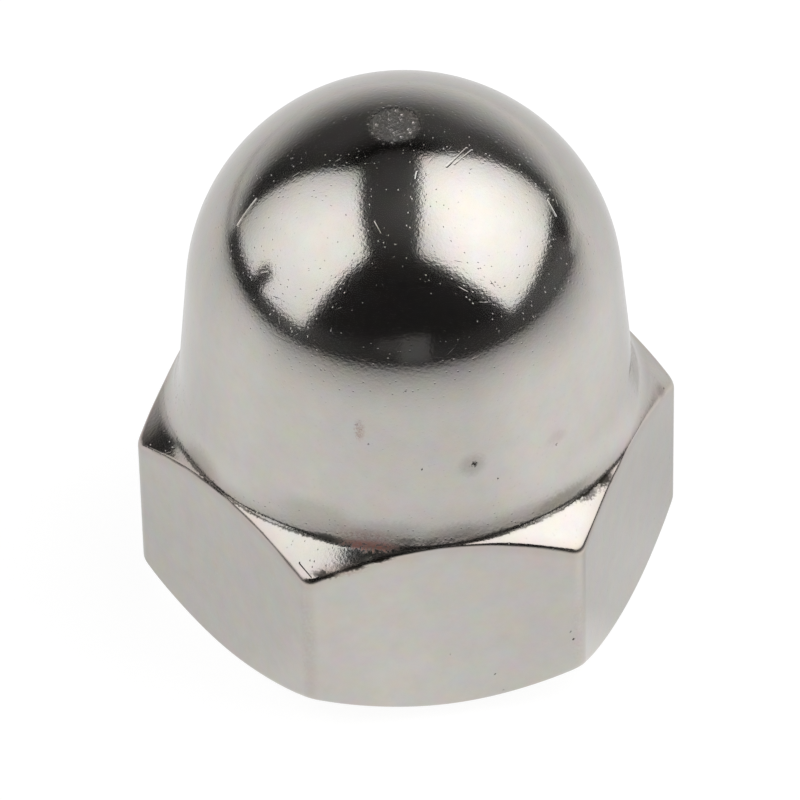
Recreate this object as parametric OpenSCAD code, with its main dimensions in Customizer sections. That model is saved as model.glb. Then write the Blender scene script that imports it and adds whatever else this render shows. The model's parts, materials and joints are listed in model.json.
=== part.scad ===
// Cap nut: a hexagon nut that a domed crown closes, formed and tapped in one piece.
// Millimetres, with +Z along the thread from the bearing face to the crown.
// The origin is the centre of the bearing face. Two of the six flats face +Y and -Y.

/* [Hexagon] */
// Width across the flats, for a 10 mm spanner
across_flats = 9.9; // [8.5:0.1:14]
// Radius of the six upright edges
edge_radius = 0.35; // [0.1:0.05:0.8]
// Height of each flat at its middle
hex_height = 4.75; // [3.5:0.05:6]
// Slope of the top chamfer, from level
top_chamfer_angle = 38; // [20:1:42]
// Slope of the bottom chamfer, from level
bottom_chamfer_angle = 38; // [20:1:45]
// How far the edge of the bearing face is set in from the flats
bearing_setback = 0.5; // [0.2:0.05:1]

/* [Dome] */
// Height of the whole nut
overall_height = 12; // [10:0.1:16]
// How far the foot of the dome's straight side is set in from the flats
foot_setback = 0.18; // [0.1:0.02:0.8]
// How much the dome's radius narrows from its foot to its crown
dome_taper = 0.27; // [0.03:0.03:0.81]
// Radius of the flare at the foot of the dome
flare_radius = 4; // [1:0.1:5]
// How far the crease between the flare and the top chamfer is set in from the flats
crease_setback = 0.03; // [0.01:0.01:0.08]
// Diameter of the small flat on top of the crown
crown_flat_diameter = 1.1; // [0.4:0.1:2]

/* [Thread] */
// Nominal diameter of the thread
thread_diameter = 6; // [3:0.5:6.5]
// Pitch of the thread
thread_pitch = 1; // [0.5:0.05:1.25]
// Least metal between the hole and the top of the crown
crown_wall = 2; // [1:0.1:4]
// Angle across the cone that the drill leaves
drill_point_angle = 118; // [90:1:140]
// How much wider the countersink's mouth is than the thread
countersink_margin = 0.6; // [0.1:0.1:1]
// Angle across the countersink
countersink_angle = 120; // [90:1:130]

/* [Hidden] */
$fn = 96;

steel_colour = [0.75, 0.74, 0.71];

// How far a cutting tool runs past the face that it enters
overrun = 1;

// How far an arc and the line that it blends into overlap, so that they cross cleanly
blend_overlap = 0.0001;

// A step of the given length, in the direction given by its angle above level
function along(angle, distance) = [cos(angle), sin(angle)] * distance;

// Hexagon
flat_radius = across_flats / 2;
sharp_corner_radius = flat_radius / cos(30);
edge_centre_radius = (flat_radius - edge_radius) / cos(30);
bearing_radius = flat_radius - bearing_setback;

// Dome: its crown is a sphere, cut off by the crown flat
foot_radius = flat_radius - foot_setback;
crown_radius = foot_radius - dome_taper;
crown_flat_radius = crown_flat_diameter / 2;
crown_centre_height = overall_height - sqrt(pow(crown_radius, 2) - pow(crown_flat_radius, 2));
crown_centre = [0, crown_centre_height];

// The top chamfer and the dome's straight side would meet at the foot
foot = [foot_radius, hex_height + foot_setback * tan(top_chamfer_angle)];

// The side leans in until it touches the crown, touch_angle above level
foot_to_crown = crown_centre - foot;
touch_angle = acos(crown_radius / norm(foot_to_crown)) - atan2(foot_to_crown[1], foot_radius);
crown_touch = crown_centre + along(touch_angle, crown_radius - blend_overlap);

// The crease is on the top chamfer, just inside the flats
crease = [flat_radius - crease_setback, hex_height + crease_setback * tan(top_chamfer_angle)];

// The flare starts at the crease and runs out into the side, which it touches
up_side = along(90 + touch_angle, 1);
off_side = along(touch_angle, 1);
crease_along_side = (crease - foot) * up_side;
crease_off_side = (crease - foot) * off_side;
flare_rise = sqrt(pow(flare_radius, 2) - pow(flare_radius - crease_off_side, 2));
flare_on_side = foot + up_side * (crease_along_side + flare_rise);
flare_centre = flare_on_side + off_side * flare_radius;
flare_root = [0, hex_height / 2];

// Outer ends of the two chamfers, on the circle round the sharp hexagon
top_chamfer_end = [
    sharp_corner_radius,
    hex_height - (sharp_corner_radius - flat_radius) * tan(top_chamfer_angle)
];
bottom_chamfer_end = [
    sharp_corner_radius,
    (sharp_corner_radius - bearing_radius) * tan(bottom_chamfer_angle)
];

// Hole that the thread is cut in: its wall becomes the thread's crests
hole_radius = (thread_diameter - thread_pitch) / 2;
drill_point_height = hole_radius / tan(drill_point_angle / 2);
hole_depth = overall_height - crown_wall - drill_point_height;
countersink_radius = (thread_diameter + countersink_margin) / 2;
countersink_depth = (countersink_radius - hole_radius) / tan(countersink_angle / 2);

// Half section of the turned form, before the flats are cut
module turned_section() {
    intersection() {
        union() {
            polygon([
                [0, 0],
                [bearing_radius, 0],
                bottom_chamfer_end,
                top_chamfer_end,
                foot,
                crown_touch,
                crown_centre
            ]);
            translate(crown_centre) circle(crown_radius);
            flare_web();
        }
        square([sharp_corner_radius, overall_height]);
    }
}

// The metal that the flare adds outside the foot of the dome, rooted in the body
module flare_web() {
    difference() {
        polygon([flare_root, crease, flare_centre, flare_on_side]);
        translate(flare_centre) circle(flare_radius + blend_overlap);
    }
}

// Hexagon with rounded corners. A bar joins each pair of opposite flats, and an arc
// rounds each corner between two bars.
module rounded_hexagon() {
    intersection() {
        circle(sharp_corner_radius, $fn = 6);
        union() {
            for (turn = [0:60:120])
                rotate(turn) square([edge_centre_radius, across_flats + overrun], center = true);
            for (corner = [0:60:300])
                translate(along(corner, edge_centre_radius))
                    circle(edge_radius + blend_overlap);
        }
    }
}

// Blind hole as the drill leaves it, with the countersink at its mouth
module tapping_hole() {
    rotate_extrude()
        polygon([
            [0, -overrun],
            [countersink_radius, -overrun],
            [countersink_radius, 0],
            [hole_radius, countersink_depth],
            [hole_radius, hole_depth],
            [0, hole_depth + drill_point_height]
        ]);
}

module cap_nut() {
    color(steel_colour)
        difference() {
            intersection() {
                rotate_extrude() turned_section();
                linear_extrude(overall_height) rounded_hexagon();
            }
            tapping_hole();
        }
}

cap_nut();
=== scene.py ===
# Cap nut in polished stainless steel, on a white sweep between two softboxes.
# Lengths are millimetres where the nut and its steel are worked out, and metres in the studio,
# in the frame and in every mesh.
import json
import math

import bpy
import bmesh
import numpy as np
from mathutils import Matrix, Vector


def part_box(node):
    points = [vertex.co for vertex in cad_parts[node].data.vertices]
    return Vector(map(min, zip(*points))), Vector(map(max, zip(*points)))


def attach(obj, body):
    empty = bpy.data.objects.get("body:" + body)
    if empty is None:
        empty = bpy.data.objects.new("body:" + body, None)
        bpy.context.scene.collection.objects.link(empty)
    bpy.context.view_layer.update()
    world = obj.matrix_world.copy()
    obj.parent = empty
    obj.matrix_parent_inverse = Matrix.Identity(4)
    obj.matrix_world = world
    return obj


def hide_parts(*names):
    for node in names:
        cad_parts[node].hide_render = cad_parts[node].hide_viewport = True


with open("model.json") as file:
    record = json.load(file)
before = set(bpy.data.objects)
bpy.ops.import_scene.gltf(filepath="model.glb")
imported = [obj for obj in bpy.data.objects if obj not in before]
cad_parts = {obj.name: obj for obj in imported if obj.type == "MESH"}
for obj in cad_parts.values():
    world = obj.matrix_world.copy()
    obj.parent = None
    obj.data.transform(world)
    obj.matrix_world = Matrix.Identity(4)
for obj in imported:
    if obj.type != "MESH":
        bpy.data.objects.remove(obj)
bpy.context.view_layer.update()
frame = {"record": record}

bl_info = {
    "name": "Cap nut",
    "version": (1, 0, 0),
    "blender": (4, 5, 0),
    "location": "View3D > Sidebar > Cap nut",
    "description": "Builds a domed cap nut and the studio that it stands in",
    "category": "Add Mesh",
}

MM = 0.001
SIXTH = math.tau / 6
UPWARD = np.array([0.0, 0.0, 1.0])

NUT_LOW, NUT_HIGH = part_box("cap_nut")
THREAD_MOUNT = next(m for m in frame["record"]["mounts"] if m["kind"] == "threaded_hole")


# ---------------- colours and curves


def linear(hex_colour):
    """Linear red, green and blue of an sRGB hex value such as #BEBAB5."""
    srgb = [int(hex_colour[i : i + 2], 16) / 255 for i in (1, 3, 5)]
    return [v / 12.92 if v <= 0.04045 else ((v + 0.055) / 1.055) ** 2.4 for v in srgb]


def smooth_step(low, high, value):
    """Rises from 0 to 1 between two values, level at both ends."""
    t = np.clip((value - low) / (high - low), 0, 1)
    return t * t * (3 - 2 * t)


def bell(middle, width, value):
    """A bell curve: 1 at its middle, and 1/e at one width to each side of it."""
    return np.exp(-(((value - middle) / width) ** 2))


# ---------------- sizes


def corner_radius_of(across_flats, across_corners):
    """Radius of the upright edges, from how much shorter they make the width across corners."""
    sharp = across_flats / math.cos(SIXTH / 2)
    return (sharp - across_corners) / 2 / (1 / math.cos(SIXTH / 2) - 1)


def length_setting(name, description, default):
    """Property for a length in metres."""
    kind = {"default": default, "unit": "LENGTH"}
    return bpy.props.FloatProperty(name=name, description=description, **kind)


def angle_setting(name, description, degrees):
    """Property for an angle, whose default is given in degrees."""
    kind = {"default": math.radians(degrees), "subtype": "ANGLE", "unit": "ROTATION"}
    return bpy.props.FloatProperty(name=name, description=description, **kind)


def colour_setting(name, description, hex_colour):
    """Property for a colour, whose default is given as an sRGB hex value."""
    kind = {"default": linear(hex_colour), "subtype": "COLOR", "size": 3, "min": 0, "max": 1}
    return bpy.props.FloatVectorProperty(name=name, description=description, **kind)


class HexagonSizes(bpy.types.PropertyGroup):
    """The hexagon's sizes"""

    across_flats: length_setting(
        "Across flats", "Width between two opposite flats", NUT_HIGH.y - NUT_LOW.y
    )
    edge_radius: length_setting(
        "Edge radius",
        "Radius of the six upright edges",
        corner_radius_of(NUT_HIGH.y - NUT_LOW.y, NUT_HIGH.x - NUT_LOW.x),
    )
    hex_height: length_setting("Hexagon height", "Height of each flat at its middle", 4.75 * MM)
    chamfer_angle: angle_setting(
        "Chamfer angle", "Slope of the top and bottom chamfers, from level", 38
    )
    bearing_setback: length_setting(
        "Bearing setback", "How far the bearing face's edge is set in from the flats", 0.5 * MM
    )
    edge_break: length_setting(
        "Edge break", "How far tumbling has worn each sharp edge back", 0.075 * MM
    )


class DomeSizes(bpy.types.PropertyGroup):
    """The dome's sizes"""

    height: length_setting("Overall height", "Height of the whole nut", NUT_HIGH.z - NUT_LOW.z)
    foot_setback: length_setting(
        "Foot setback", "How far the foot of the dome's side is set in from the flats", 0.18 * MM
    )
    taper: length_setting(
        "Taper", "How much the dome's radius narrows from its foot to its crown", 0.27 * MM
    )
    flare_radius: length_setting(
        "Flare radius", "Radius of the flare at the foot of the dome", 4.0 * MM
    )
    crease_setback: length_setting(
        "Crease setback", "How far the crease below the flare is set in from the flats", 0.03 * MM
    )
    crease_rounding: length_setting(
        "Crease rounding", "How far to each side of the crease tumbling has rounded it", 0.10 * MM
    )
    crown_flat: length_setting("Crown flat", "Diameter of the flat on the crown", 1.1 * MM)


class ThreadSizes(bpy.types.PropertyGroup):
    """The tapped hole's sizes"""

    crest_radius: length_setting(
        "Crest radius",
        "Radius of the hole that the thread is cut in",
        THREAD_MOUNT["dims"]["r_mm"] * MM,
    )
    pitch: length_setting("Pitch", "Pitch of the thread", 1.0 * MM)
    crown_wall: length_setting(
        "Crown wall", "Least metal between the hole and the top of the crown", 2.0 * MM
    )
    drill_angle: angle_setting(
        "Drill point angle", "Angle across the cone that the drill leaves", 118
    )
    countersink_radius: length_setting(
        "Countersink radius", "Radius of the countersink's mouth", 3.3 * MM
    )
    countersink_angle: angle_setting("Countersink angle", "Angle across the countersink", 120)


class SteelFinish(bpy.types.PropertyGroup):
    """The steel's colours and polish"""

    steel_colour: colour_setting(
        "Steel colour", "Colour of the polished steel where it faces the eye", "#BEBAB5"
    )
    dull_colour: colour_setting(
        "Dull colour", "Colour of the dull steel at the foot of the dome", "#99948D"
    )
    stain_colour: colour_setting(
        "Stain colour", "Colour of the steel where polishing paste has dried", "#A5766A"
    )
    # Also the colour of the shade painted into the crease below the dome
    dirt_and_shade_colour: colour_setting(
        "Dirt colour", "Colour of the dirt in pits, along worn edges and in the crease", "#35332E"
    )
    roughness: bpy.props.FloatProperty(
        name="Roughness",
        description="How much the tumbled polish blurs a reflection",
        default=0.12,
        min=0.0,
        max=1.0,
    )


# ---------------- the nut's shape


def along(angle, distance):
    """A step of the given length, as (radius, height), in the direction of an angle above level."""
    return np.array([math.cos(angle), math.sin(angle)]) * distance


class NutForm:
    """The nut's sizes in millimetres, with the points of its half section worked out from them."""

    def __init__(self, hexagon, dome, thread):
        self.flat_radius = hexagon.across_flats / 2 / MM
        self.edge_radius = hexagon.edge_radius / MM
        self.edge_centre = (self.flat_radius - self.edge_radius) / math.cos(SIXTH / 2)
        self.arc_half_angle = math.atan2(
            self.edge_radius * math.sin(SIXTH / 2),
            self.edge_centre + self.edge_radius * math.cos(SIXTH / 2),
        )
        self.chamfer = hexagon.chamfer_angle
        self.bearing_radius = self.flat_radius - hexagon.bearing_setback / MM
        self.edge_break = hexagon.edge_break / MM

        # The top chamfer and the dome's straight side would meet at the foot, and the crease
        # between the flare and the chamfer is just inside the flats
        self.height = dome.height / MM
        self.crown_flat_radius = dome.crown_flat / 2 / MM
        foot_radius = self.flat_radius - dome.foot_setback / MM
        crease_radius = self.flat_radius - dome.crease_setback / MM
        slope = math.tan(self.chamfer)
        hex_height = hexagon.hex_height / MM
        self.foot = np.array([foot_radius, hex_height + (self.flat_radius - foot_radius) * slope])
        self.crease = np.array(
            [crease_radius, hex_height + (self.flat_radius - crease_radius) * slope]
        )
        self.crease_rounding = dome.crease_rounding / MM
        self.crown_radius = foot_radius - dome.taper / MM
        crown_drop = math.sqrt(self.crown_radius**2 - self.crown_flat_radius**2)
        self.crown_centre = np.array([0.0, self.height - crown_drop])

        # The side leans in by the touch angle and runs into the crown
        reach = self.crown_centre - self.foot
        lean = math.acos(self.crown_radius / np.linalg.norm(reach))
        self.touch = lean - math.atan2(reach[1], foot_radius)
        self.crown_touch = self.crown_centre + along(self.touch, self.crown_radius)

        # The flare starts at the crease and runs out into the side, which it touches
        up_side = along(math.pi / 2 + self.touch, 1)
        off_side = along(self.touch, 1)
        self.flare = dome.flare_radius / MM
        self.flare_turn = math.acos(1 - (self.crease - self.foot) @ off_side / self.flare)
        rise = (self.crease - self.foot) @ up_side + self.flare * math.sin(self.flare_turn)
        self.flare_on_side = self.foot + up_side * rise
        self.flare_centre = self.flare_on_side + off_side * self.flare

        # Where each stretch of the turned outline ends, measured along it from the crease
        self.flare_end = self.flare * self.flare_turn
        self.side_end = self.flare_end + np.linalg.norm(self.crown_touch - self.flare_on_side)
        crown_turn = math.acos(self.crown_flat_radius / self.crown_radius) - self.touch
        self.crown_end = self.side_end + self.crown_radius * crown_turn

        # The flat on the crown was struck a little off the axis
        self.crown_offset = np.array([-0.15, -0.14, 0.0])

        self.crest_radius = thread.crest_radius / MM
        self.pitch = thread.pitch / MM
        self.drill_height = self.crest_radius / math.tan(thread.drill_angle / 2)
        self.hole_depth = self.height - thread.crown_wall / MM - self.drill_height
        self.countersink_radius = thread.countersink_radius / MM
        self.countersink_slope = math.tan(thread.countersink_angle / 2)


def hexagon_radius(form, angle):
    """Distance from the axis to the side of the rounded hexagon at each angle.

    Near a corner it is the far crossing of the ray with the edge's circle, and elsewhere
    the flat's distance divided by the cosine of the angle from the middle of that flat.
    """
    turn = np.radians(degrees_from_corner(angle))
    over_arc = form.edge_centre * np.cos(turn)
    inside = form.edge_radius**2 - (form.edge_centre * np.sin(turn)) ** 2
    arc = over_arc + np.sqrt(np.maximum(inside, 0))
    return np.where(turn < form.arc_half_angle, arc, form.flat_radius / np.cos(SIXTH / 2 - turn))


def column_angles(form, arc_steps=6, flat_steps=15):
    """Angles of the upright grid lines: close together round each corner's arc, one just
    past its end so that the flat stays flat, and then evenly spaced to the middle of the flat."""
    just_past = math.radians(0.12)
    arc = np.linspace(0, form.arc_half_angle, arc_steps + 1)
    flat = np.linspace(form.arc_half_angle + just_past, SIXTH / 2, flat_steps + 1)
    half = np.concatenate([arc, flat])
    sector = np.concatenate([-half[:0:-1], half[:-1]])
    return np.sort(((np.arange(6)[:, None] * SIXTH + sector) % math.tau).ravel())


def arc_points(centre, radius, angle):
    """Points (radius, height) of an arc: its centre plus its radius in each direction."""
    return centre + radius * np.stack([np.cos(angle), np.sin(angle)], -1)


def degrees_from_corner(angle):
    """How far each angle is from the hexagon's nearest corner, from 0 to 30 degrees."""
    return np.degrees(np.abs((angle + SIXTH / 2) % SIXTH - SIXTH / 2))


def wear_share(angle):
    """How worn the hexagon's upper edges are: wholly up to 14 degrees from a corner, and less
    from there on, down to 0.4 within 4 degrees of the middle of a flat."""
    return 1 - 0.6 * smooth_step(14, 26, degrees_from_corner(angle))


def crease_reach(form, angle):
    """How far the crease's rounding reaches: three times as far at the corners on +X and -X."""
    return form.crease_rounding * (wear_share(angle) + 2 * np.cos(angle) ** 8)


def turned_outline(form, length, reach):
    """Point (radius, height) of the turned outline at each length along it.

    Lengths below zero run out along the top chamfer from the crease. From zero on come the
    flare, the leaning side and the crown, each a straight line or an arc of its own radius.
    The crease itself is a parabola between the points that lie its reach to each side.
    """
    length = np.asarray(length, float)
    at = length[..., None]
    outward = along(math.pi - form.chamfer, 1)
    flare_start = math.pi + form.touch + form.flare_turn
    chamfer = form.crease + at * outward
    flare = arc_points(form.flare_centre, form.flare, flare_start - length / form.flare)
    side = form.flare_on_side + (at - form.flare_end) * along(math.pi / 2 + form.touch, 1)
    turn = form.touch + (length - form.side_end) / form.crown_radius
    crown = arc_points(form.crown_centre, form.crown_radius, turn)

    after = arc_points(form.flare_centre, form.flare, flare_start - reach / form.flare)
    reach = reach[:, None]
    before = form.crease - reach * outward
    t = np.clip((at + reach) / (2 * reach), 0, 1)
    rounded = (1 - t) ** 2 * before + 2 * t * (1 - t) * form.crease + t**2 * after

    outline = np.where(at < form.side_end, side, crown)
    outline = np.where(at < form.flare_end, flare, outline)
    outline = np.where(at < reach, rounded, outline)
    return np.where(at < -reach, chamfer, outline)


def straight_rows(start, end, steps):
    """Rings between two rings, evenly spaced along straight lines, without the first ring."""
    t = np.linspace(0, 1, steps + 1)[1:, None, None]
    return start + t * (end - start)


def worn_corner(before, corner, after, steps):
    """Rings round a worn edge: a parabola that leaves one face before the corner and joins
    the next after it, touching both, without its first ring."""
    t = np.linspace(0, 1, steps + 1)[1:, None, None]
    return (1 - t) ** 2 * before + 2 * t * (1 - t) * corner + t**2 * after


def outer_rings(form, angle):
    """Rings (radius, height) from the countersink's mouth over the outside to the crown.

    Each ring has one point for each angle. The rings follow the bearing face, the bottom
    chamfer, the flats up to the scalloped line where the turned outline cuts them, and then
    the turned outline by its length. With them comes each point's distance, in its own
    section, from the nearest of the three edges that tumbling has worn. The wear varies round
    the nut as one plus two sines, and a bell curve at each corner almost doubles it there.
    """
    radius = hexagon_radius(form, angle)
    everywhere = np.ones_like(radius)
    wear = 1 + 0.16 * np.sin(5 * angle + 0.7) + 0.12 * np.sin(11 * angle + 2.1)
    wear += 0.9 * bell(0, 4, degrees_from_corner(angle))
    setback = form.edge_break * wear
    slope = math.tan(form.chamfer)
    reach = crease_reach(form, angle)

    def ring(r, z):
        return np.stack([r * everywhere, z * everywhere], -1)

    def bottom_chamfer(r):
        return ring(r, (r - form.bearing_radius) * slope)

    mouth = ring(form.countersink_radius, 0)
    bearing_edge = ring(form.bearing_radius, 0)
    bearing_before = ring(form.bearing_radius - form.edge_break, 0)
    bearing_after = bottom_chamfer(form.bearing_radius + form.edge_break * math.cos(form.chamfer))
    low_corner = bottom_chamfer(radius)
    low_before = bottom_chamfer(radius - setback * math.cos(form.chamfer))
    low_after = low_corner + np.stack([0 * radius, setback], -1)

    # Rings this close to a worn edge or to the crown flat's rim keep the faces beside it flat
    gap = 0.02

    # The flats always end on the chamfer, a little outside the crease
    at_edge = (form.crease[0] - radius) / math.cos(form.chamfer)
    high_corner = form.crease + at_edge[:, None] * along(math.pi - form.chamfer, 1)
    high_setback = setback * wear_share(angle)
    high_before = high_corner - np.stack([0 * radius, high_setback], -1)
    high_after = turned_outline(form, at_edge + high_setback, reach)
    guard = np.stack([0 * radius, 1.5 * gap * everywhere], -1)

    start = at_edge + high_setback
    crease_start = np.maximum(start + gap, -reach)
    crease_end = np.maximum(crease_start + gap, reach)
    marks = [(start, crease_start, 10), (crease_start, crease_end, 10)]
    marks += [(crease_end, form.flare_end * everywhere, 14)]
    foot_lengths = np.concatenate(
        [a + np.linspace(0, 1, n + 1)[1:, None] * (b - a) for a, b, n in marks]
    )
    side_lengths = np.linspace(form.flare_end, form.side_end, 9)[1:, None] * everywhere
    crown_lengths = np.linspace(form.side_end, form.crown_end - gap, 47)[1:]
    crown_lengths = np.append(crown_lengths, form.crown_end)
    inside_rim = ring(form.crown_flat_radius - gap, form.height)

    parts = [
        mouth[None],
        straight_rows(mouth, bearing_before, 5),
        worn_corner(bearing_before, bearing_edge, bearing_after, 4),
        straight_rows(bearing_after, low_before, 6),
        worn_corner(low_before, low_corner, low_after, 6),
        (low_after + guard)[None],
        straight_rows(low_after + guard, high_before - guard, 6),
        high_before[None],
        worn_corner(high_before, high_corner, high_after, 8),
        turned_outline(form, foot_lengths, reach),
        turned_outline(form, side_lengths, reach),
        turned_outline(form, crown_lengths[:, None] * everywhere, reach),
        inside_rim[None],
        straight_rows(inside_rim, ring(0, form.height), 4),
    ]
    rings = np.concatenate(parts)
    edges = [bearing_edge, low_corner, high_corner]
    from_edge = np.min([np.linalg.norm(rings - edge, axis=-1) for edge in edges], axis=0)
    return rings, from_edge


# The thread's profile, in pitches: its depth, half the width of its root, and each flank's
THREAD_DEPTH = 1 / 2
HALF_ROOT = 1 / 16
FLANK = THREAD_DEPTH * math.tan(SIXTH / 2)

# In millimetres: how far short of the hole's end the tap stops, and the length of its chamfer
TAP_STOP = 0.3
TAP_CHAMFER = 1.2


def thread_radius(form, height, phase):
    """Radius of the tapped hole at each height, and at each place across the thread's pitch.

    Across one pitch the hole has a flat crest, a flank, a flat root and the other flank, and
    the two flanks stand at 60 degrees to each other. The tap's chamfer lets the cut run out
    towards the end of the hole, and the countersink cuts the thread away at the mouth.
    """
    depth = THREAD_DEPTH * form.pitch
    from_root = np.abs((phase / form.pitch) % 1 - 0.5)
    cut = np.clip((HALF_ROOT + FLANK - from_root) / FLANK, 0, 1) * depth
    run_out = np.clip((form.hole_depth - TAP_STOP - height) / TAP_CHAMFER, 0, 1) * depth
    countersink = form.countersink_radius - height * form.countersink_slope
    return np.maximum(form.crest_radius + np.minimum(cut, run_out), countersink)


def bore_grid(form, angle):
    """Points of the tapped hole from its end down to the mouth of the countersink.

    The grid is sheared: each of its lines climbs one pitch in a turn, as a right-hand thread
    does, and is held within the hole's two ends. Rows sit on the edges of crest and root.
    """
    crest_end = 0.5 - HALF_ROOT - FLANK
    marks = [-crest_end, -crest_end / 2, 0, crest_end / 2, crest_end]
    marks += [crest_end + FLANK / 2, 0.5 - HALF_ROOT, 0.5, 0.5 + HALF_ROOT]
    marks += [1 - crest_end - FLANK / 2]
    turns = np.arange(-2, math.ceil(form.hole_depth / form.pitch) + 1)
    phase = ((turns[:, None] + np.array(marks)) * form.pitch).ravel()[::-1]
    spare = 0.3
    phase = phase[(phase > -form.pitch - spare) & (phase < form.hole_depth + spare)]
    climbing = phase[:, None] + form.pitch * angle / math.tau
    height = np.clip(climbing, 0, form.hole_depth)
    radius = thread_radius(form, height, np.broadcast_to(phase[:, None], height.shape))
    return np.stack([radius, height], -1)


def drill_cone(form, angle):
    """Points of the cone at the end of the hole, from its tip to its rim, in straight lines."""
    t = np.linspace(0, 1, 9)[:, None] * np.ones_like(angle)
    return np.stack([t * form.crest_radius, form.hole_depth + (1 - t) * form.drill_height], -1)


def wrap(section, angle):
    """Turns (radius, height) points into x, y, z at their angles."""
    radius, height = section[..., 0], section[..., 1]
    return np.stack([radius * np.cos(angle), radius * np.sin(angle), height], -1)


def strike_crown(form, points):
    """Turns the crown about its sphere's centre, so that its flat moves off the axis.

    The turn is whole on the flat and fades to nothing at three times the flat's radius. Round
    the flat the points slide along the sphere, which keeps its form.
    """
    centre = np.array([0, 0, form.crown_centre[1]])
    radius = np.linalg.norm(points[..., :2], axis=-1)
    upper = points[..., 2] > centre[2]
    fade = upper * (1 - smooth_step(form.crown_flat_radius, 3 * form.crown_flat_radius, radius))
    offset = np.linalg.norm(form.crown_offset)
    axis = np.cross(UPWARD, form.crown_offset / offset)
    turn = (offset / form.crown_radius * fade)[..., None]
    arm = points - centre
    along_axis = (arm @ axis)[..., None] * axis
    turned = along_axis + np.cos(turn) * (arm - along_axis) + np.sin(turn) * np.cross(axis, arm)
    return centre + turned


MERGE_DISTANCE = 2e-7  # metres
SHARP_ANGLE = math.radians(28)  # faces that meet at more than this keep a sharp edge


def grid_faces(rows, columns, first=0):
    """Corner numbers of the four-sided faces of a grid, row by row."""
    corner = first + np.arange((rows - 1) * columns).reshape(rows - 1, columns)[:, :-1]
    return np.stack([corner, corner + 1, corner + columns + 1, corner + columns], -1).reshape(-1, 4)


def closed_mesh(name, grids):
    """One closed mesh from several grids of points in millimetres, each with how far every
    point lies from a worn edge: doubles are merged along seams and poles."""
    vertices, faces, from_edge, first = [], [], [], 0
    for points, distance in grids:
        rows, columns = points.shape[:2]
        vertices.append(points.reshape(-1, 3) * MM)
        from_edge.append(np.broadcast_to(distance, (rows, columns)).ravel())
        faces.append(grid_faces(rows, columns, first))
        first += rows * columns
    mesh = bpy.data.meshes.new(name)
    mesh.from_pydata(np.concatenate(vertices), [], np.concatenate(faces).tolist())
    attribute = mesh.attributes.new("from_edge", "FLOAT", "POINT")
    attribute.data.foreach_set("value", np.concatenate(from_edge).astype(np.float32))
    shell = bmesh.new()
    shell.from_mesh(mesh)
    bmesh.ops.remove_doubles(shell, verts=shell.verts, dist=MERGE_DISTANCE)
    shell.to_mesh(mesh)
    shell.free()
    mesh.validate()
    return mesh


# ---------------- nodes


MATH = "ShaderNodeMath"
VECTOR = "ShaderNodeVectorMath"
RANGE = "ShaderNodeMapRange"
NOISE = "ShaderNodeTexNoise"
CELLS = "ShaderNodeTexVoronoi"
ATTRIBUTE = "ShaderNodeAttribute"
SMOOTH = {"interpolation_type": "SMOOTHSTEP"}


def add(tree, kind, settings=None, *by_place, **by_name):
    """Adds one node. Settings are its own fields, and a plain text is its operation. Inputs
    follow in the order of its sockets, or by name with underscores for spaces. A socket, or
    a node's first output, is linked to the input, and any other value is set on it."""
    node = tree.nodes.new(kind)
    if isinstance(settings, str):
        settings = {"operation": settings}
    for key, value in (settings or {}).items():
        setattr(node, key, value)
    named = {key.replace("_", " "): value for key, value in by_name.items()}
    for place, value in [*enumerate(by_place), *named.items()]:
        if isinstance(value, bpy.types.Node):
            value = value.outputs[0]
        if isinstance(value, bpy.types.NodeSocket):
            tree.links.new(value, node.inputs[place])
        else:
            node.inputs[place].default_value = value
    return node


def new_material(name):
    """An empty node material and its tree."""
    material = bpy.data.materials.new(name)
    material.use_nodes = True
    material.node_tree.nodes.clear()
    return material, material.node_tree


# Marks that the nut has picked up, by their ends (x, y, z), half width and depth, in mm
SCRATCHES = [
    ((0.72, -1.36, 11.75), (1.20, -0.88, 11.76), 0.035, 0.006),
    ((0.88, -1.30, 11.73), (1.30, -0.92, 11.73), 0.030, 0.005),
    ((-0.86, -1.07, 11.81), (-0.72, -1.11, 11.83), 0.025, 0.005),
    ((0.05, -1.60, 11.73), (0.10, -1.46, 11.78), 0.025, 0.004),
    ((-3.48, -0.70, 10.30), (-3.06, -0.54, 10.79), 0.030, 0.006),
    ((-3.56, -0.80, 10.08), (-3.40, -0.66, 10.42), 0.024, 0.004),
    ((2.72, -1.56, 10.75), (2.86, -1.78, 10.50), 0.030, 0.005),
    ((-0.91, -2.28, 11.30), (-0.82, -2.50, 11.17), 0.020, 0.003),
    ((-0.50, -0.30, 12.0), (-0.05, -0.10, 12.0), 0.028, 0.006),
    ((0.10, 0.05, 12.0), (0.32, -0.05, 12.0), 0.025, 0.006),
    ((-0.30, -0.50, 11.99), (0.05, -0.42, 12.0), 0.025, 0.005),
    ((-2.91, -4.53, 4.41), (-2.71, -4.84, 4.27), 0.030, 0.006),
    ((1.42, -4.95, 1.88), (1.96, -4.95, 1.80), 0.020, 0.002),
    ((1.77, -4.95, 4.30), (1.75, -4.95, 1.13), 0.020, 0.001),
    ((2.78, -4.93, 2.60), (2.65, -4.95, 2.39), 0.030, 0.003),
]
# Pits that hold dirt, by their centre (x, y, z), radius and depth, in mm
PITS = [
    ((0.70, -4.55, 6.57), 0.075, 0.014),
    ((2.49, -3.91, 6.25), 0.025, 0.005),
    ((-0.37, -4.59, 6.62), 0.024, 0.004),
    ((1.19, -4.50, 6.06), 0.022, 0.004),
    ((-0.65, -4.34, 8.51), 0.030, 0.005),
    ((0.10, -4.95, 1.79), 0.024, 0.004),
    ((1.02, -4.95, 1.08), 0.024, 0.004),
    ((1.18, -4.95, 0.60), 0.024, 0.004),
    ((-1.63, -4.20, 7.68), 0.024, 0.004),
    ((-1.42, -4.33, 7.22), 0.022, 0.004),
    ((2.66, -4.95, 1.80), 0.028, 0.005),
    ((2.60, -4.95, 2.02), 0.022, 0.004),
    ((5.36, -0.47, 4.41), 0.030, 0.006),
]
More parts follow.
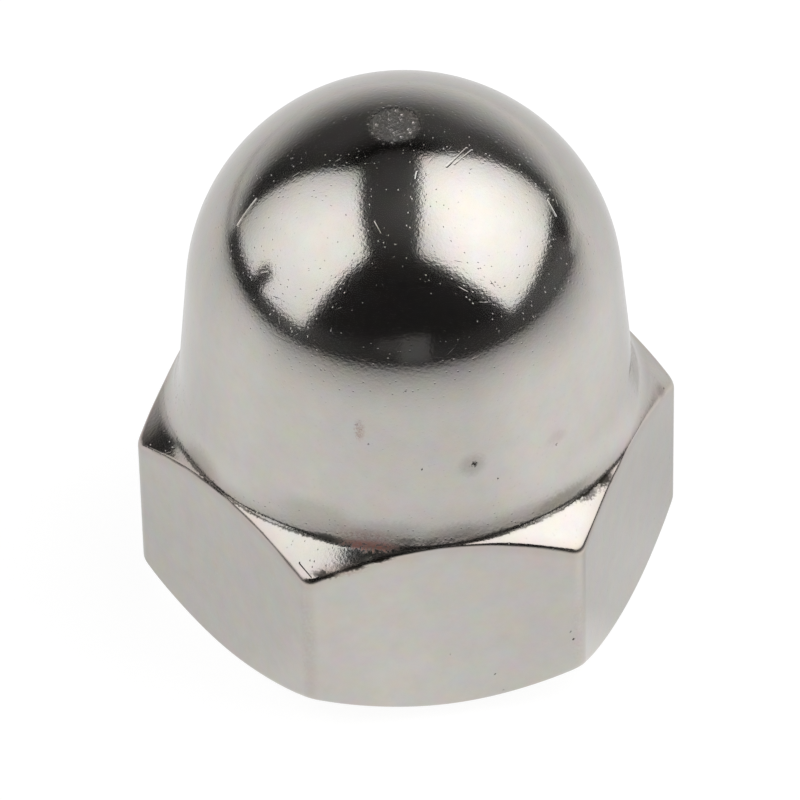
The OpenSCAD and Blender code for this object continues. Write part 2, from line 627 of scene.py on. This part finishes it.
# Patches by their centre (x, y, z), half sizes along x, y and z in mm, and strength. Dull ones
# lie at the foot of the dome, grime with painted shade in the crease and grime along the
# edges, and stain where polishing paste has dried.
DULL_PATCHES = [
    ((-2.51, -4.04, 5.25), (1.00, 3.0, 0.50), 0.38),
    ((-1.20, -4.70, 5.10), (1.30, 3.0, 0.34), 0.40),
    ((1.90, -4.40, 5.00), (2.10, 3.0, 0.30), 0.40),
    ((0.25, -4.85, 5.00), (0.80, 3.0, 0.30), 0.50),
    ((0.66, -4.55, 6.55), (0.38, 3.0, 0.36), 0.50),
    ((2.60, -4.15, 4.97), (1.00, 1.2, 0.20), 0.50),
    ((2.52, -3.88, 6.43), (0.34, 0.5, 0.22), 0.22),
    ((4.60, -1.00, 5.60), (0.30, 0.22, 0.36), 0.65),
    ((-4.55, -1.75, 4.95), (0.70, 0.90, 0.45), 0.55),
]
# Dark patches: in the crease they are grime and painted shade, along the edges grime
GRIME_AND_SHADE_PATCHES = [
    ((-2.30, -4.33, 4.84), (0.45, 3.0, 0.09), 0.70),
    ((-2.45, -4.88, 4.33), (0.40, 0.3, 0.09), 0.90),
    ((-1.90, -4.93, 4.47), (0.40, 0.3, 0.08), 0.90),
    ((-1.35, -4.95, 4.60), (0.40, 0.3, 0.07), 0.90),
    ((-0.75, -4.80, 4.93), (0.32, 3.0, 0.07), 0.45),
    ((-0.30, -4.86, 4.90), (0.30, 3.0, 0.06), 0.35),
    ((0.95, -4.82, 4.82), (0.60, 3.0, 0.08), 0.45),
    ((3.05, -3.85, 4.80), (0.45, 0.8, 0.10), 0.60),
    ((3.62, -3.46, 4.74), (0.36, 0.40, 0.13), 0.95),
    ((3.22, -3.82, 4.72), (0.36, 0.36, 0.08), 0.70),
    ((4.50, -1.28, 5.83), (0.16, 0.40, 0.12), 0.55),
    ((5.28, -0.60, 4.46), (0.22, 0.32, 0.16), 0.25),
]
STAIN_PATCHES = [
    ((-1.50, -4.68, 4.81), (0.85, 3.0, 0.12), 1.00),
    ((-1.50, -4.65, 4.96), (0.95, 3.0, 0.24), 0.40),
    ((-1.57, -4.23, 7.55), (0.13, 3.0, 0.34), 0.35),
    ((-2.83, -4.93, 2.50), (0.24, 0.4, 2.60), 0.10),
    ((2.80, -4.93, 2.20), (0.20, 0.4, 1.60), 0.08),
    ((-2.20, -4.95, 4.40), (0.80, 0.5, 0.16), 0.22),
]

# Outwards from the axis to the side of the nut where dirt has settled, and where shade is painted
# into the crease
MARKED_SIDE = (-0.225, -0.974, 0.0)

# The least that the blotches multiply red, green and blue by, and how much more they add
BLOTCH_LEAST = (0.87, 0.895, 0.832)
BLOTCH_RANGE = (0.26, 0.21, 0.32)

# How many features of each texture fit in a millimetre
WAVE_SCALE = 0.8
GRAIN_SCALE = 15.0
MOTTLE_SCALE = 1.7
BLOTCH_SCALE = 2.1
SPECK_SCALE = 7.5
HAIR_SCALE = 2.4

# How far the grain frays every edge to each side, and heights of the relief, in millimetres
FRAY = 0.10
ORANGE_PEEL = 0.0102
FOOT_GRAIN = 0.009
CROWN_GRAIN = 0.085
WAVE_HEIGHT = 0.006
SPECK_DEPTH = 0.0037
CROWN_SPECK_DEPTH = 0.012
HAIR_DEPTH = 0.0009


def polished_stainless(finish, form):
    """Polished A2 stainless steel, cold formed and tumbled bright.

    The eye sees a slightly warm grey mirror with a faint orange peel. Fine pits and hairline
    scratches fray the edges of each reflection, and the foot of the dome, which the polishing
    stones don't reach, stays grainy, duller and a little brown.
    """
    material, tree = new_material("polished stainless steel")

    def new(*settings, **inputs):
        """Adds one node to this material."""
        return add(tree, *settings, **inputs)

    def times(value, factor):
        """A value times a factor."""
        return new(MATH, "MULTIPLY", value, factor)

    def times_plus(value, factor, extra):
        """A value times a factor, plus something extra."""
        return new(MATH, "MULTIPLY_ADD", value, factor, extra)

    def even(value, start, end, low, high):
        """Runs evenly from low at the start to high at the end, and is level outside them."""
        return new(RANGE, None, value, start, end, low, high)

    def soft(value, start, end, low, high):
        """As even does, but eases in and out."""
        return new(RANGE, SMOOTH, value, start, end, low, high)

    coordinates = tree.nodes.new("ShaderNodeTexCoord")
    place = new(VECTOR, "SCALE", coordinates.outputs["Object"], Scale=1 / MM)

    def total(values):
        """Adds values up, one after another, to one at most."""
        result = values[0]
        for value in values[1:]:
            result = new(MATH, {"operation": "ADD", "use_clamp": True}, result, value)
        return result

    def scratch_depth(start, end, half_width, depth):
        """Depth of a V groove: falls evenly from its middle line to its two sides."""
        run = np.subtract(end, start)
        from_start = new(VECTOR, "SUBTRACT", place, start)
        share = new(VECTOR, "DOT_PRODUCT", from_start, tuple(run / (run @ run)))
        held = even(share.outputs["Value"], 0.0, 1.0, 0.0, 1.0)
        nearest = new(VECTOR, "SCALE", tuple(run), Scale=held)
        away = new(VECTOR, "DISTANCE", from_start, nearest).outputs["Value"]
        return even(away, 0.0, half_width, depth, 0.0)

    def pit_share(centre, radius):
        """One inside a pit and nothing outside it."""
        away = new(VECTOR, "DISTANCE", frayed, centre).outputs["Value"]
        return soft(away, radius * 0.35, radius * 1.2, 1.0, 0.0)

    def patch_share(centre, sizes, strength):
        """Strength at the middle of a soft-edged patch, falling to nothing at its sizes."""
        off = new(VECTOR, "SUBTRACT", frayed, centre)
        off = new(VECTOR, "DIVIDE", off, sizes)
        away = new(VECTOR, "LENGTH", off).outputs["Value"]
        return soft(away, 0.25, 1.0, strength, 0.0)

    # Waves left by forming, 1 to 2 mm long, the grain of the tumbled polish, which frays every
    # edge, a mottle for the dirt, and blotches half a millimetre across
    waves = new(NOISE, None, place, Scale=WAVE_SCALE, Detail=1.0)
    grain = new(NOISE, None, place, Scale=GRAIN_SCALE, Detail=2.0, Roughness=0.6)
    fray = times_plus(grain, 2 * FRAY, -FRAY)
    frayed = new(VECTOR, "ADD", place, fray)
    mottle = new(NOISE, None, place, Scale=MOTTLE_SCALE, Detail=1.0)
    blotches = new(NOISE, None, place, Scale=BLOTCH_SCALE, Detail=4.0, Roughness=0.62)

    # Where on the nut: the height above the crease, the side where dirt lies and shade is painted
    # into the crease, the crown flat
    height = new("ShaderNodeSeparateXYZ", None, place).outputs["Z"]
    above_crease = new(MATH, "SUBTRACT", height, float(form.crease[1]))
    above_crease = times_plus(fray, 0.45, above_crease)
    marked_side = new(VECTOR, "DOT_PRODUCT", place, MARKED_SIDE).outputs["Value"]
    marked_side = soft(marked_side, 1.4, 2.4, 0.0, 1.0)
    upper = soft(height, 3.2, 3.9, 0.0, 1.0)
    marked_side = times(marked_side, upper)
    struck = tuple(form.crown_offset + np.array([0, 0, form.height]))
    from_flat = new(VECTOR, "DISTANCE", frayed, struck).outputs["Value"]
    reach = form.crown_flat_radius
    crown_flat = soft(from_flat, reach - 0.13, reach + 0.12, 1.0, 0.0)

    # Dirt and painted shade at the crease, sharp below it and fading above it, and dirt along
    # each edge, where its line is wider at the corners. Round the edges lies a faint halo, and
    # above the crease a band of grainy steel.
    below = soft(above_crease, -0.03, 0.005, 0.0, 1.0)
    above = soft(above_crease, 0.0, 0.037, 1.0, 0.0)
    patchiness = even(mottle, 0.35, 0.62, 0.35, 0.9)
    dirt_and_shade_share = times(marked_side, patchiness)
    crease_dirt_and_shade = times(times(below, above), dirt_and_shade_share)
    from_edge = new(ATTRIBUTE, {"attribute_name": "from_edge"}).outputs["Fac"]
    edge_width = soft(height, 4.25, 4.66, 0.085, 0.05)
    edge_line = times(soft(from_edge, 0.0, edge_width, 0.9, 0.0), dirt_and_shade_share)
    edge_halo = times(soft(from_edge, 0.05, 0.35, 0.14, 0.0), upper)
    foot_band = times(soft(above_crease, 0.0, 0.40, 1.0, 0.0), below)
    foot_band = times(foot_band, marked_side)

    # Dull patches, grimy patches that also hold painted shade in the crease, and stained patches.
    # Stain lies in streaks and hides part of the dirt and of the painted shade.
    dull = total([patch_share(*patch) for patch in DULL_PATCHES])
    grime_and_shade_shares = [patch_share(*patch) for patch in GRIME_AND_SHADE_PATCHES]
    streaks = even(grain, 0.36, 0.60, 0.35, 1.0)
    stain = times(total([patch_share(*patch) for patch in STAIN_PATCHES]), streaks)
    pits = [pit_share(centre, size) for centre, size, _ in PITS]
    dark = total([crease_dirt_and_shade, edge_line, *grime_and_shade_shares])
    dark = times(dark, times_plus(stain, -0.75, 1.0))
    dark = total([dark, *pits])

    # Tumbling pits 0.04 mm across, twice that on the crown flat, and hairlines on random
    # planes through larger cells
    specks = new(CELLS, None, place, Scale=SPECK_SCALE).outputs["Distance"]
    speck_size = times_plus(crown_flat, 0.17, 0.16)
    deepest = times_plus(crown_flat, CROWN_SPECK_DEPTH, SPECK_DEPTH)
    speck_depth = even(specks, 0.0, speck_size, deepest, 0.0)
    cells = new(CELLS, None, place, Scale=HAIR_SCALE)
    from_cell = new(VECTOR, "SUBTRACT", place, cells.outputs["Position"])
    across = new(VECTOR, "SUBTRACT", cells.outputs["Color"], (0.5, 0.5, 0.5))
    across = new(VECTOR, "NORMALIZE", across)
    off_plane = new(VECTOR, "DOT_PRODUCT", from_cell, across).outputs["Value"]
    off_plane = new(MATH, "ABSOLUTE", off_plane)
    hair_depth = even(off_plane, 0.0, 0.010, HAIR_DEPTH, 0.0)
    hair_reach = soft(cells.outputs["Distance"], 0.10, 0.38, 1.0, 0.0)
    hair_depth = times(hair_depth, hair_reach)

    # Relief: orange peel, coarser at the foot and on the crown flat, waves, and then the marks
    coarse = times_plus(foot_band, FOOT_GRAIN, ORANGE_PEEL)
    coarse = times_plus(crown_flat, CROWN_GRAIN, coarse)
    relief = times_plus(waves, WAVE_HEIGHT, times(fray, coarse))
    deep = [scratch_depth(*mark) for mark in SCRATCHES] + [speck_depth, hair_depth]
    deep += [times(pit, mark[2]) for pit, mark in zip(pits, PITS)]
    relief = new(MATH, "SUBTRACT", relief, total(deep))
    bump = new("ShaderNodeBump", None, Strength=1.0, Distance=MM, Height=relief)

    # Colour: the steel times faint blotches, and times a layer each for the dulled foot, the
    # brown stain and the dark dirt with the crease's painted shade, whose factor goes from one
    # to that layer's own colour
    tint = blotches.outputs["Color"]
    tint = new(VECTOR, "MULTIPLY_ADD", tint, BLOTCH_RANGE, BLOTCH_LEAST)
    colour = new(VECTOR, "MULTIPLY", tint, tuple(finish.steel_colour))
    for share, layer_colour in [
        (total([dull, times(foot_band, 0.4)]), finish.dull_colour),
        (total([stain, edge_halo]), finish.stain_colour),
        (dark, finish.dirt_and_shade_colour),
    ]:
        change = tuple(np.divide(layer_colour, finish.steel_colour) - 1)
        layer = new(VECTOR, "MULTIPLY_ADD", share, change, (1, 1, 1))
        colour = new(VECTOR, "MULTIPLY", colour, layer)

    # Dirt, the crease's painted shade and dulled steel blur the reflection, and the stain hides
    # most of the bare metal
    roughness = times_plus(dull, 0.14, finish.roughness)
    roughness = times_plus(crown_flat, 0.20, roughness)
    roughness = times_plus(dark, 0.30, roughness)
    roughness = times_plus(stain, 0.25, roughness)
    bare = times_plus(stain, -0.85, 1.0)

    look = {"Base_Color": colour, "Metallic": bare, "Roughness": roughness, "Normal": bump}
    shader = new("ShaderNodeBsdfPrincipled", None, **look)
    new("ShaderNodeOutputMaterial", None, shader)
    return material


# ---------------- the studio

CAMERA_TURN = math.radians(-8.08)
CAMERA_RISE = math.radians(40.81)
CAMERA_ROLL = math.radians(-1.26)
CAMERA_DISTANCE = 0.15935
CAMERA_AIM = (-0.000138, 0.00451)  # right of the axis, and above the floor
LENS_MM = 344.1
SENSOR_MM = 36.0

# Level directions from the nut: to the camera's right, and towards the camera
RIGHTWARD = np.array([math.cos(CAMERA_TURN), math.sin(CAMERA_TURN), 0])
FORWARD = np.array([math.sin(CAMERA_TURN), -math.cos(CAMERA_TURN), 0])


def direction(azimuth, elevation):
    """Unit vector from the nut at an azimuth, in degrees round from the camera by way of its
    right, and at an elevation, in degrees above level."""
    a, e = np.radians(azimuth)[..., None], np.radians(elevation)[..., None]
    return np.cos(e) * (np.cos(a) * FORWARD + np.sin(a) * RIGHTWARD) + np.sin(e) * UPWARD


def open_mesh(name, points):
    """An open mesh that keeps every point of one grid, so that values can be stored on them."""
    rows, columns = points.shape[:2]
    mesh = bpy.data.meshes.new(name)
    mesh.from_pydata(points.reshape(-1, 3), [], grid_faces(rows, columns).tolist())
    return mesh


def glowing_sheet(name, points, glow, material, seen_by_camera=False):
    """A stage sheet from a grid of points in metres, with how bright it shines at each one."""
    mesh = open_mesh(name, points)
    attribute = mesh.attributes.new("glow", "FLOAT", "POINT")
    attribute.data.foreach_set("value", np.ascontiguousarray(glow, np.float32).ravel())
    mesh.materials.append(material)
    sheet = bpy.data.objects.new(name, mesh)
    bpy.context.scene.collection.objects.link(sheet)
    sheet.visible_camera = seen_by_camera


def panel_corners(directions, distance):
    """Corners of the flat four-sided panel, two by two parallel, seen in four directions.

    The lengths along the directions solve first - second + third - fourth = 0, and are scaled
    so that their mean is the distance.
    """
    d = direction(*np.array(directions, float).T)
    signs = np.array([1, -1, 1, -1])[:, None]
    lengths = np.linalg.svd((d * signs).T)[2][-1]
    lengths *= distance / lengths.mean()
    return d * lengths[:, None]


def panel_points(corners, steps=24):
    """Grid of points over a four-sided panel, and how far each one lies across it, from its
    first corner to its second, and up it, from there to its other two, both from -1 to 1."""
    across, up = np.meshgrid(np.linspace(0, 1, steps + 1), np.linspace(0, 1, steps + 1))
    a, u = across[..., None], up[..., None]
    low = corners[0] + a * (corners[1] - corners[0])
    high = corners[3] + a * (corners[2] - corners[3])
    return low + u * (high - low), 2 * across - 1, 2 * up - 1


def glow_material(name):
    """A sheet that shines as brightly as its own glow values say, and reflects nothing."""
    material, tree = new_material(name)
    glow = add(tree, ATTRIBUTE, {"attribute_name": "glow"}).outputs["Fac"]
    shader = add(tree, "ShaderNodeEmission", Strength=glow)
    add(tree, "ShaderNodeOutputMaterial", Surface=shader)
    material.cycles.emission_sampling = "NONE"
    return material


# Part of the floor's light that comes from the lamps, and holds the shadow
FLOOR_SHADE = 0.12
# How bright the floor is for the camera: just over white, so that its grain doesn't show
FLOOR_WHITE = 1.02


def floor_material():
    """White card: it glows for the even ground and is a little lit by the lamps for the shadow.

    The camera sees it as white, and mirrors see it with its own fall-off. From below it can be
    seen through.
    """
    material, tree = new_material("white card")
    glow = add(tree, ATTRIBUTE, {"attribute_name": "glow"}).outputs["Fac"]
    path = tree.nodes.new("ShaderNodeLightPath")
    seen = path.outputs["Is Camera Ray"]
    levels = {"Factor": seen, "A": glow, "B": FLOOR_WHITE - FLOOR_SHADE}
    strength = add(tree, "ShaderNodeMix", {"data_type": "FLOAT"}, **levels)
    shine = add(tree, "ShaderNodeEmission", Strength=strength)
    matt = add(tree, "ShaderNodeBsdfDiffuse", Color=(*linear("#7C7C7C"), 1))
    both = add(tree, "ShaderNodeAddShader", None, shine, matt)
    below = tree.nodes.new("ShaderNodeNewGeometry").outputs["Backfacing"]
    nothing = tree.nodes.new("ShaderNodeBsdfTransparent")
    surface = add(tree, "ShaderNodeMixShader", None, below, both, nothing)
    add(tree, "ShaderNodeOutputMaterial", Surface=surface)
    material.cycles.emission_sampling = "NONE"
    return material


# The floor's light at azimuths all round, without the shadow painted near the nut, and that painted
# shadow, which brightens the glow as painted light where it is below zero
FLOOR_TURN = [0, 28, 54, 90, 108, 122, 140, 180, 220, 240, 270, 300, 321, 337, 360]
FLOOR_LIGHT = [
    *(1.25, 1.23, 1.47, 1.46, 1.20, 0.92, 0.80, 0.78),
    *(0.81, 0.89, 0.99, 1.12, 1.26, 1.25, 1.25),
]
FLOOR_DROP = 0.00001  # metres below the bearing face, so that the two don't coincide
SHADE_TURN = [0, 45, 68, 110, 140, 165, 185, 210, 270, 310, 360]
SHADE = [0.08, 0.15, 0.38, 0.34, 0.06, -0.14, -0.16, 0.04, 0.16, 0.20, 0.08]

# The sweep's light at azimuths from right to left: the elevation that it reaches up to, in
# degrees, and the faint light that spills above that
SWEEP_TURN = [106, 118, 135, 155, 180, 215, 230, 242]
SWEEP_REACH = [5, 10, 31, 41, 37, 30, 17, 7]
SWEEP_SPILL = [0.02, 0.03, 0.07, 0.09, 0.08, 0.06, 0.03, 0.02]

# Distances from the nut in metres
FLOOR_RADIUS = 2.5
SWEEP_DISTANCE = 0.6
ROOM_RADIUS = 2.4
SOFTBOX_DISTANCE = 0.5

# Each softbox by its name, the azimuth and elevation of its two lower and its two upper
# corners, its brightness in the middle, and the five drops of its light
SOFTBOXES = [
    (
        "left_softbox",
        [(-117.5, 7.0), (-54, 7.5), (-33, 53.5), (-134, 65)],
        1.52,
        (0.44, 0.12, 0.16, 0.08, 0.1),
    ),
    (
        "right_softbox",
        [(57.5, 11.5), (119, 17), (160.5, 66), (14.5, 57.5)],
        1.92,
        (0.10, 0.42, 0.22, 0.09, 0.38),
    ),
]
# Each card by its name, corners in the same way, distance in metres and brightness
GREY_CARDS = [
    ("camera_front", [(-3, 2), (12, 2), (12, 15), (-3, 15)], 0.7, 0.115),
    ("tripod", [(-16, 7), (-4, 6), (-4, 14), (-14, 13)], 0.8, 0.07),
    ("lamp_clamp", [(-92, 4), (-84, 4), (-80, 18), (-88, 19)], 0.27, 0.03),
]


def floor_sheet():
    """White floor, as rings at geometric spacing with their faces upwards.

    In front and on the right its light is divided by one plus the distance, and on the left
    by one plus the square of the distance. It is steady behind. Near the nut a painted
    shadow darkens its glow, and just behind the nut painted light brightens it.
    """
    front_fall, left_fall, shade_start, shade_end = 0.045, 0.14, 0.007, 0.015
    radius = np.append(0, np.geomspace(0.001, FLOOR_RADIUS, 70))
    angle = np.linspace(360, 0, 121)
    r, a = np.meshgrid(radius, angle, indexing="ij")
    turn = np.radians(a)
    points = r[..., None] * direction(a, 0 * a) - FLOOR_DROP * UPWARD
    leftness = np.clip(-np.sin(turn), 0, 1) ** 4
    frontness = np.clip(1 + 2 * np.cos(turn), 0, 1) * (1 - leftness)
    level = np.interp(a, FLOOR_TURN, FLOOR_LIGHT)
    level /= 1 + frontness * r / front_fall + leftness * (r / left_fall) ** 2
    # Painted shadow of the nut on the floor's glow, and painted light behind it where the shade is
    # below zero
    shade = np.interp(a, SHADE_TURN, SHADE)
    level *= 1 - shade * (1 - smooth_step(shade_start, shade_end, r))
    glowing_sheet("floor", points, level - FLOOR_SHADE, floor_material(), True)


def back_sweep(material):
    """Curved white sweep behind the nut, whose light fades with height.

    It fades from its foot, a little dimmer on the left, to an elevation that is highest right
    of the middle, and the spill above that fades out at its upper edge.
    """
    ends, spill_end, top = (SWEEP_TURN[0], SWEEP_TURN[-1]), 42, 62
    azimuth, elevation = np.meshgrid(np.linspace(*ends, 69), np.linspace(0, top, 43))
    points = SWEEP_DISTANCE * direction(azimuth, 0 * azimuth)
    points = points + SWEEP_DISTANCE * np.tan(np.radians(elevation))[..., None] * UPWARD
    reach = np.interp(azimuth, SWEEP_TURN, SWEEP_REACH)
    spill = np.interp(azimuth, SWEEP_TURN, SWEEP_SPILL)
    spill *= 1 - smooth_step(spill_end, top, elevation)
    foot = 0.97 - 0.21 * smooth_step(150, 225, azimuth)
    glow = spill + (foot - spill) * (1 - smooth_step(-0.15, 1, elevation / reach))
    glowing_sheet("back_sweep", points, glow, material)


def dark_room(material):
    """Dark dome: the unlit studio, a little lighter overhead and, low down, right and left.

    Overhead it is lightest towards the front right, and low down in two bell curves.
    """
    azimuth, elevation = np.meshgrid(np.linspace(0, 360, 121), np.linspace(-3, 90, 63))
    points = ROOM_RADIUS * direction(azimuth, elevation)
    overhead = smooth_step(45, 87, elevation) * (1 + 0.32 * np.cos(np.radians(azimuth - 60)))
    low = 1 - smooth_step(6, 16, elevation)
    right = bell(95, 32, azimuth)
    left = bell(300, 22, azimuth)
    glow = 0.017 + 0.075 * overhead + low * (0.02 + 0.10 * right + 0.04 * left)
    glowing_sheet("dark_room", points, glow, material)


def softbox(name, directions, centre_glow, drops, material):
    """Flat softbox seen in four directions, brightest near the middle.

    From the middle its light drops with the square of the distance towards the side of its
    first corner, towards the side of its second, and up or down. It rises steadily from its
    lower edge to its upper, and drops again towards its last corner. The five drops give how
    much of the light each of these takes or adds.
    """
    points, across, up = panel_points(panel_corners(directions, SOFTBOX_DISTANCE))
    corner = np.clip((up - across) / 2, 0, 1) ** 2
    parts = [-(across.clip(-1, 0) ** 2), -(across.clip(0, 1) ** 2), -(up**2), up, -corner]
    glow = centre_glow * (1 + sum(share * part for share, part in zip(drops, parts)))
    glowing_sheet(name, points, glow, material)


def grey_card(name, directions, distance, glow, material):
    """Small flat card of one even brightness, seen in four directions."""
    points, across, _ = panel_points(panel_corners(directions, distance), 2)
    glowing_sheet(name, points, glow + 0 * across, material)


def studio_camera():
    """Camera on its arc round the nut, turned a little about its own line of sight."""
    camera_data = bpy.data.cameras.new("camera")
    camera_data.sensor_width = SENSOR_MM
    camera_data.lens = LENS_MM
    camera_data.clip_start = 0.01
    camera = bpy.data.objects.new("camera", camera_data)
    bpy.context.scene.collection.objects.link(camera)
    back = math.cos(CAMERA_RISE) * FORWARD + math.sin(CAMERA_RISE) * UPWARD
    up = math.cos(CAMERA_RISE) * UPWARD - math.sin(CAMERA_RISE) * FORWARD
    c, s = math.cos(CAMERA_ROLL), math.sin(CAMERA_ROLL)
    x_axis = c * RIGHTWARD + s * up
    y_axis = c * up - s * RIGHTWARD
    aim = CAMERA_AIM[0] * RIGHTWARD + CAMERA_AIM[1] * UPWARD
    place = aim + CAMERA_DISTANCE * back
    rows = np.column_stack([x_axis, y_axis, back, place]).tolist()
    camera.matrix_world = Matrix([*rows, [0, 0, 0, 1]])
    bpy.context.scene.camera = camera


# ---------------- operators


class CAPNUT_OT_add_nut(bpy.types.Operator):
    """Makes the cap nut in place of its solid from the CAD model"""

    bl_idname = "capnut.add_nut"
    bl_label = "Cap nut"

    def execute(self, context):
        scene = context.scene
        form = NutForm(scene.capnut_hexagon, scene.capnut_dome, scene.capnut_thread)
        angle = column_angles(form)
        closed = np.append(angle, math.tau + angle[0])
        outside, from_edge = outer_rings(form, closed)
        grids = [
            (wrap(drill_cone(form, closed), closed), 1.0),
            (wrap(bore_grid(form, closed), closed), 1.0),
            (strike_crown(form, wrap(outside, closed)), from_edge),
        ]
        mesh = closed_mesh("steel_cap_nut", grids)
        mesh.shade_smooth()
        mesh.set_sharp_from_angle(angle=SHARP_ANGLE)
        mesh.materials.append(polished_stainless(scene.capnut_finish, form))
        nut = bpy.data.objects.new("steel_cap_nut", mesh)
        scene.collection.objects.link(nut)
        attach(nut, "root")
        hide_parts("cap_nut")
        return {"FINISHED"}


class CAPNUT_OT_add_studio(bpy.types.Operator):
    """Makes the floor, the sweep, the lamps, the dark room round them and the camera"""

    bl_idname = "capnut.add_studio"
    bl_label = "Studio"

    def execute(self, context):
        scene = context.scene
        scene.view_settings.view_transform = "Standard"
        world = bpy.data.worlds.new("white ground")
        world.use_nodes = True
        background = world.node_tree.nodes["Background"]
        background.inputs["Color"].default_value = (1, 1, 1, 1)
        background.inputs["Strength"].default_value = 1.0
        scene.world = world

        sheet = glow_material("glowing sheet")
        floor_sheet()
        back_sweep(sheet)
        dark_room(sheet)
        for lamp in SOFTBOXES:
            softbox(*lamp, sheet)
        for card in GREY_CARDS:
            grey_card(*card, sheet)
        studio_camera()
        return {"FINISHED"}


class CAPNUT_PT_panel(bpy.types.Panel):
    """Lists what the script builds"""

    bl_idname = "CAPNUT_PT_panel"
    bl_label = "Cap nut"
    bl_space_type = "VIEW_3D"
    bl_region_type = "UI"
    bl_category = "Cap nut"

    def draw(self, context):
        for group in GROUPS:
            box = self.layout.box()
            sizes = getattr(context.scene, group)
            for key in sizes.__annotations__:
                box.prop(sizes, key)
        self.layout.operator(CAPNUT_OT_add_nut.bl_idname)
        self.layout.operator(CAPNUT_OT_add_studio.bl_idname)


GROUPS = {
    "capnut_hexagon": HexagonSizes,
    "capnut_dome": DomeSizes,
    "capnut_thread": ThreadSizes,
    "capnut_finish": SteelFinish,
}
CLASSES = [*GROUPS.values(), CAPNUT_OT_add_nut, CAPNUT_OT_add_studio, CAPNUT_PT_panel]


def register():
    for cls in CLASSES:
        bpy.utils.register_class(cls)
    for name, group in GROUPS.items():
        setattr(bpy.types.Scene, name, bpy.props.PointerProperty(type=group))


def unregister():
    for name in GROUPS:
        delattr(bpy.types.Scene, name)
    for cls in reversed(CLASSES):
        bpy.utils.unregister_class(cls)


def main():
    register()
    bpy.ops.capnut.add_nut()
    bpy.ops.capnut.add_studio()


if __name__ == "__main__":
    main()
